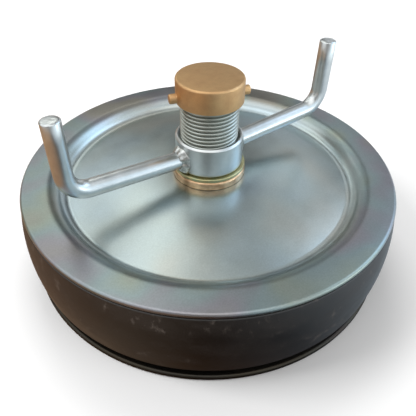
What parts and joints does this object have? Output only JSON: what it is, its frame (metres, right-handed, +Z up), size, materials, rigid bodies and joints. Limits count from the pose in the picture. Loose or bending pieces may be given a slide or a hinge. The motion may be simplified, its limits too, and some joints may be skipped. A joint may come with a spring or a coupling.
{
  "type": "pipe expansion plug",
  "caption": "Round pipe stopper: a rubber ring squeezed between two dished steel plates by a bar-handled wing nut on a threaded hollow stem with a brass cap.",
  "frame": {"origin": "centre of the lower plate's resting face", "axes": "+Z up the threaded stem, the two arms of the wing nut along X"},
  "size_m": [0.2246, 0.2246, 0.1147],
  "materials": {
    "zinc_plate": "satin zinc plating over rolled and pressed sheet",
    "ring_rubber": "moulded natural rubber, dull black brown",
    "zinc_tube": "zinc plated cut thread",
    "weld_bead": "zinc plated weld bead",
    "ring_brass": "turned, copper coloured, lightly tarnished",
    "yellow_zinc": "yellow passivated zinc",
    "zinc_bar": "bright zinc plating on bar and pipe socket",
    "cap_brass": "satin cast brass, turned faces",
    "seal_rubber": "moulded washer"
  },
  "bodies": {
    "base": {"lower_plate": "zinc_plate", "centre_tube": "zinc_tube", "tube_weld": "weld_bead", "sealing_ring": "ring_rubber"},
    "pressure_plate": {"upper_plate": "zinc_plate", "friction_ring": "ring_brass", "thrust_washer": "yellow_zinc"},
    "wing_nut": {"nut_collar": "zinc_bar", "left_arm": "zinc_bar", "right_arm": "zinc_bar", "left_arm_weld": "weld_bead", "right_arm_weld": "weld_bead"},
    "seal_carrier": {"cap_seal": "seal_rubber"},
    "cap": {"outlet_cap": "cap_brass"}
  },
  "joints": [
    {"name": "plate_press", "type": "slide", "parent": "base", "child": "pressure_plate", "axis": [0, 0, 1], "range_m": [-0.0069, 0], "deforming": ["sealing_ring"]},
    {"name": "nut_turn", "type": "hinge", "parent": "pressure_plate", "child": "wing_nut", "pos_m": [0, 0, 0.0601], "axis": [0, 0, 1], "range_deg": [-1080, 0]},
    {"name": "cap_lift", "type": "slide", "parent": "base", "child": "seal_carrier", "axis": [0, 0, 1], "range_m": [0, 0.008]},
    {"name": "cap_turn", "type": "hinge", "parent": "seal_carrier", "child": "cap", "pos_m": [0, 0, 0.107], "axis": [0, 0, 1], "range_deg": [0, 1260]}
  ],
  "couplings": [
    {"joint": "nut_turn", "follows": "plate_press", "rad_per_m": 2721.2},
    {"joint": "cap_turn", "follows": "cap_lift", "rad_per_m": 2721.2}
  ]
}
